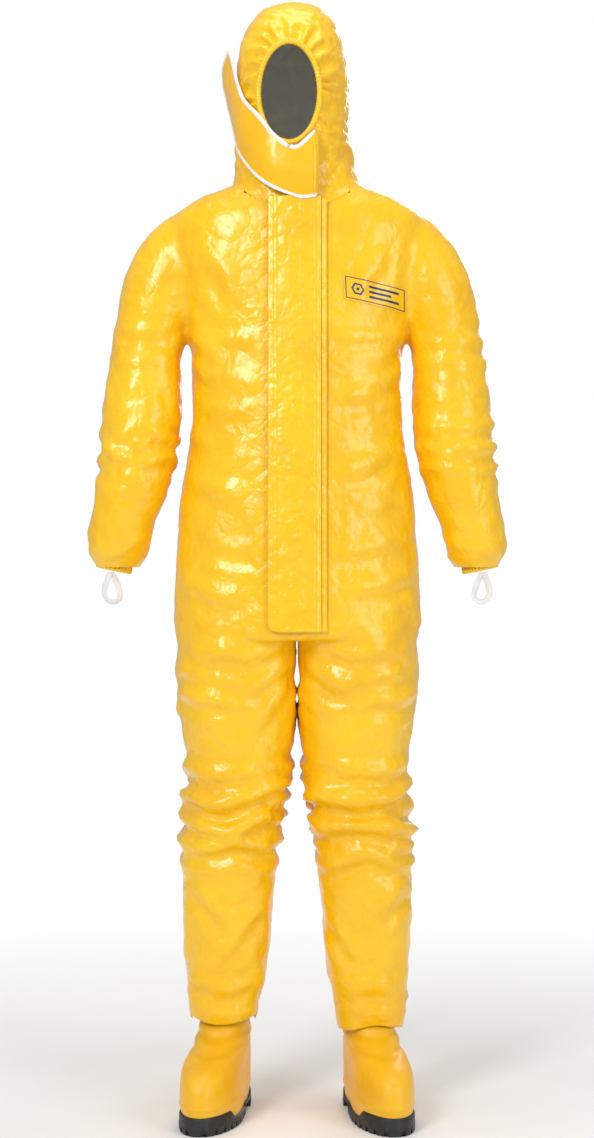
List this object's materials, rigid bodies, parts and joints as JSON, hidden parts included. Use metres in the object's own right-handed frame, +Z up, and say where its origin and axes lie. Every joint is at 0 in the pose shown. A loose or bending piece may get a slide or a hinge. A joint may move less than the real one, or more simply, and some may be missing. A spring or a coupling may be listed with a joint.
{
  "type": "chemical protective suit",
  "caption": "Hooded chemical protective coverall with a zip under a storm flap, a chin flap, thumb loops and matching safety boots, standing in its worn shape.",
  "frame": {"origin": "on the floor, under the middle of the suit's outer box", "axes": "+Z up, the suit faces -Y, the wearer's left is +X"},
  "size_m": [0.6968, 0.331, 1.85],
  "materials": {
    "suit_laminate": "glossy laminated non-woven, crinkled",
    "white_elastic": "flat woven elastic",
    "zip_plastic": "moulded",
    "zip_tape": "woven tape",
    "adhesive": "adhesive tape with a release liner",
    "badge_print": "printed film",
    "boot_pvc": "satin moulded PVC",
    "outsole_rubber": "matte moulded",
    "insole": "felt",
    "hidden_steel": "pressed"
  },
  "bodies": {
    "root": {"front_panel_left": "suit_laminate", "front_panel_right": "suit_laminate", "back_panel_left": "suit_laminate", "back_panel_right": "suit_laminate", "trouser_front_left": "suit_laminate", "trouser_front_right": "suit_laminate", "trouser_back_left": "suit_laminate", "trouser_back_right": "suit_laminate", "trouser_hem_left": "suit_laminate", "trouser_hem_right": "suit_laminate", "crotch_gusset": "suit_laminate", "zip_tape_left": "zip_tape", "zip_tape_right": "zip_tape", "zip_chain": "zip_plastic", "zip_top_stop": "zip_plastic", "zip_bottom_stop": "zip_plastic", "storm_flap_hem": "suit_laminate", "inner_flap": "suit_laminate", "chest_badge": "badge_print"},
    "hood": {"hood_centre_strip": "suit_laminate", "hood_side_left": "suit_laminate", "hood_side_right": "suit_laminate", "hood_face_elastic": "suit_laminate", "chin_flap_hem": "suit_laminate"},
    "chin_flap": {"chin_flap": "suit_laminate", "chin_flap_binding": "white_elastic", "chin_flap_adhesive_strip": "adhesive"},
    "storm_flap": {"storm_flap": "suit_laminate", "storm_flap_adhesive_strip": "adhesive"},
    "zip_slider": {"zip_slider": "zip_plastic"},
    "zip_pull": {"zip_pull": "zip_plastic"},
    "arm_left": {"upper_sleeve_left": "suit_laminate"},
    "forearm_left": {"forearm_sleeve_left": "suit_laminate", "cuff_elastic_left": "suit_laminate"},
    "thumb_loop_left": {"thumb_loop_left": "white_elastic"},
    "boot_left": {"boot_upper_left": "boot_pvc", "boot_outsole_left": "outsole_rubber", "boot_midsole_plate_left": "hidden_steel", "boot_insole_left": "insole", "boot_toe_cap_left": "hidden_steel"},
    "arm_right": {"upper_sleeve_right": "suit_laminate"},
    "forearm_right": {"forearm_sleeve_right": "suit_laminate", "cuff_elastic_right": "suit_laminate"},
    "thumb_loop_right": {"thumb_loop_right": "white_elastic"},
    "boot_right": {"boot_upper_right": "boot_pvc", "boot_outsole_right": "outsole_rubber", "boot_midsole_plate_right": "hidden_steel", "boot_insole_right": "insole", "boot_toe_cap_right": "hidden_steel"}
  },
  "joints": [
    {"name": "hood_push_back", "type": "hinge", "parent": "root", "child": "hood", "pos_m": [-0.008, 0.1169, 1.5303], "axis": [-1, 0, 0], "range_deg": [0, 60]},
    {"name": "chin_flap_open", "type": "hinge", "parent": "hood", "child": "chin_flap", "pos_m": [0.037, -0.07404, 1.531], "axis": [0, -0.1181, 0.993], "range_deg": [0, 130]},
    {"name": "storm_flap_open", "type": "hinge", "parent": "root", "child": "storm_flap", "pos_m": [0.04, -0.11883, 0.8045], "axis": [0, 0.0502, 0.9987], "range_deg": [0, 150]},
    {"name": "zip_slide", "type": "slide", "parent": "root", "child": "zip_slider", "axis": [0, -0.0499, -0.9988], "range_m": [0, 0.63]},
    {"name": "zip_pull_lift", "type": "hinge", "parent": "zip_slider", "child": "zip_pull", "pos_m": [0.014, -0.0798, 1.486], "axis": [-1, 0, 0], "range_deg": [0, 60]},
    {"name": "arm_left_swing_out", "type": "hinge", "parent": "root", "child": "arm_left", "pos_m": [0.204, 0.0334, 1.394], "axis": [0, -1, 0], "range_deg": [0, 70]},
    {"name": "elbow_left_bend", "type": "hinge", "parent": "arm_left", "child": "forearm_left", "pos_m": [0.26533, 0.0334, 1.10545], "axis": [-0.9781, 0, -0.2079], "range_deg": [0, 60]},
    {"name": "thumb_loop_left_swing", "type": "hinge", "parent": "forearm_left", "child": "thumb_loop_left", "pos_m": [0.30666, 0.0049, 0.90283], "axis": [0, -1, 0], "range_deg": [-45, 45]},
    {"name": "boot_left_turn", "type": "hinge", "parent": "root", "child": "boot_left", "pos_m": [0.121, 0.0384, 0], "axis": [0, 0, 1], "range_deg": [-20, 15]},
    {"name": "arm_right_swing_out", "type": "hinge", "parent": "root", "child": "arm_right", "pos_m": [-0.204, 0.0334, 1.394], "axis": [0, 1, 0], "range_deg": [0, 70]},
    {"name": "elbow_right_bend", "type": "hinge", "parent": "arm_right", "child": "forearm_right", "pos_m": [-0.26533, 0.0334, 1.10545], "axis": [-0.9781, 0, 0.2079], "range_deg": [0, 60]},
    {"name": "thumb_loop_right_swing", "type": "hinge", "parent": "forearm_right", "child": "thumb_loop_right", "pos_m": [-0.30666, 0.0049, 0.90283], "axis": [0, 1, 0], "range_deg": [-45, 45]},
    {"name": "boot_right_turn", "type": "hinge", "parent": "root", "child": "boot_right", "pos_m": [-0.121, 0.0384, 0], "axis": [0, 0, -1], "range_deg": [-20, 15]}
  ],
  "couplings": [
    {"joint": "zip_pull_lift", "follows": "storm_flap_open", "ratio": 0.4}
  ]
}
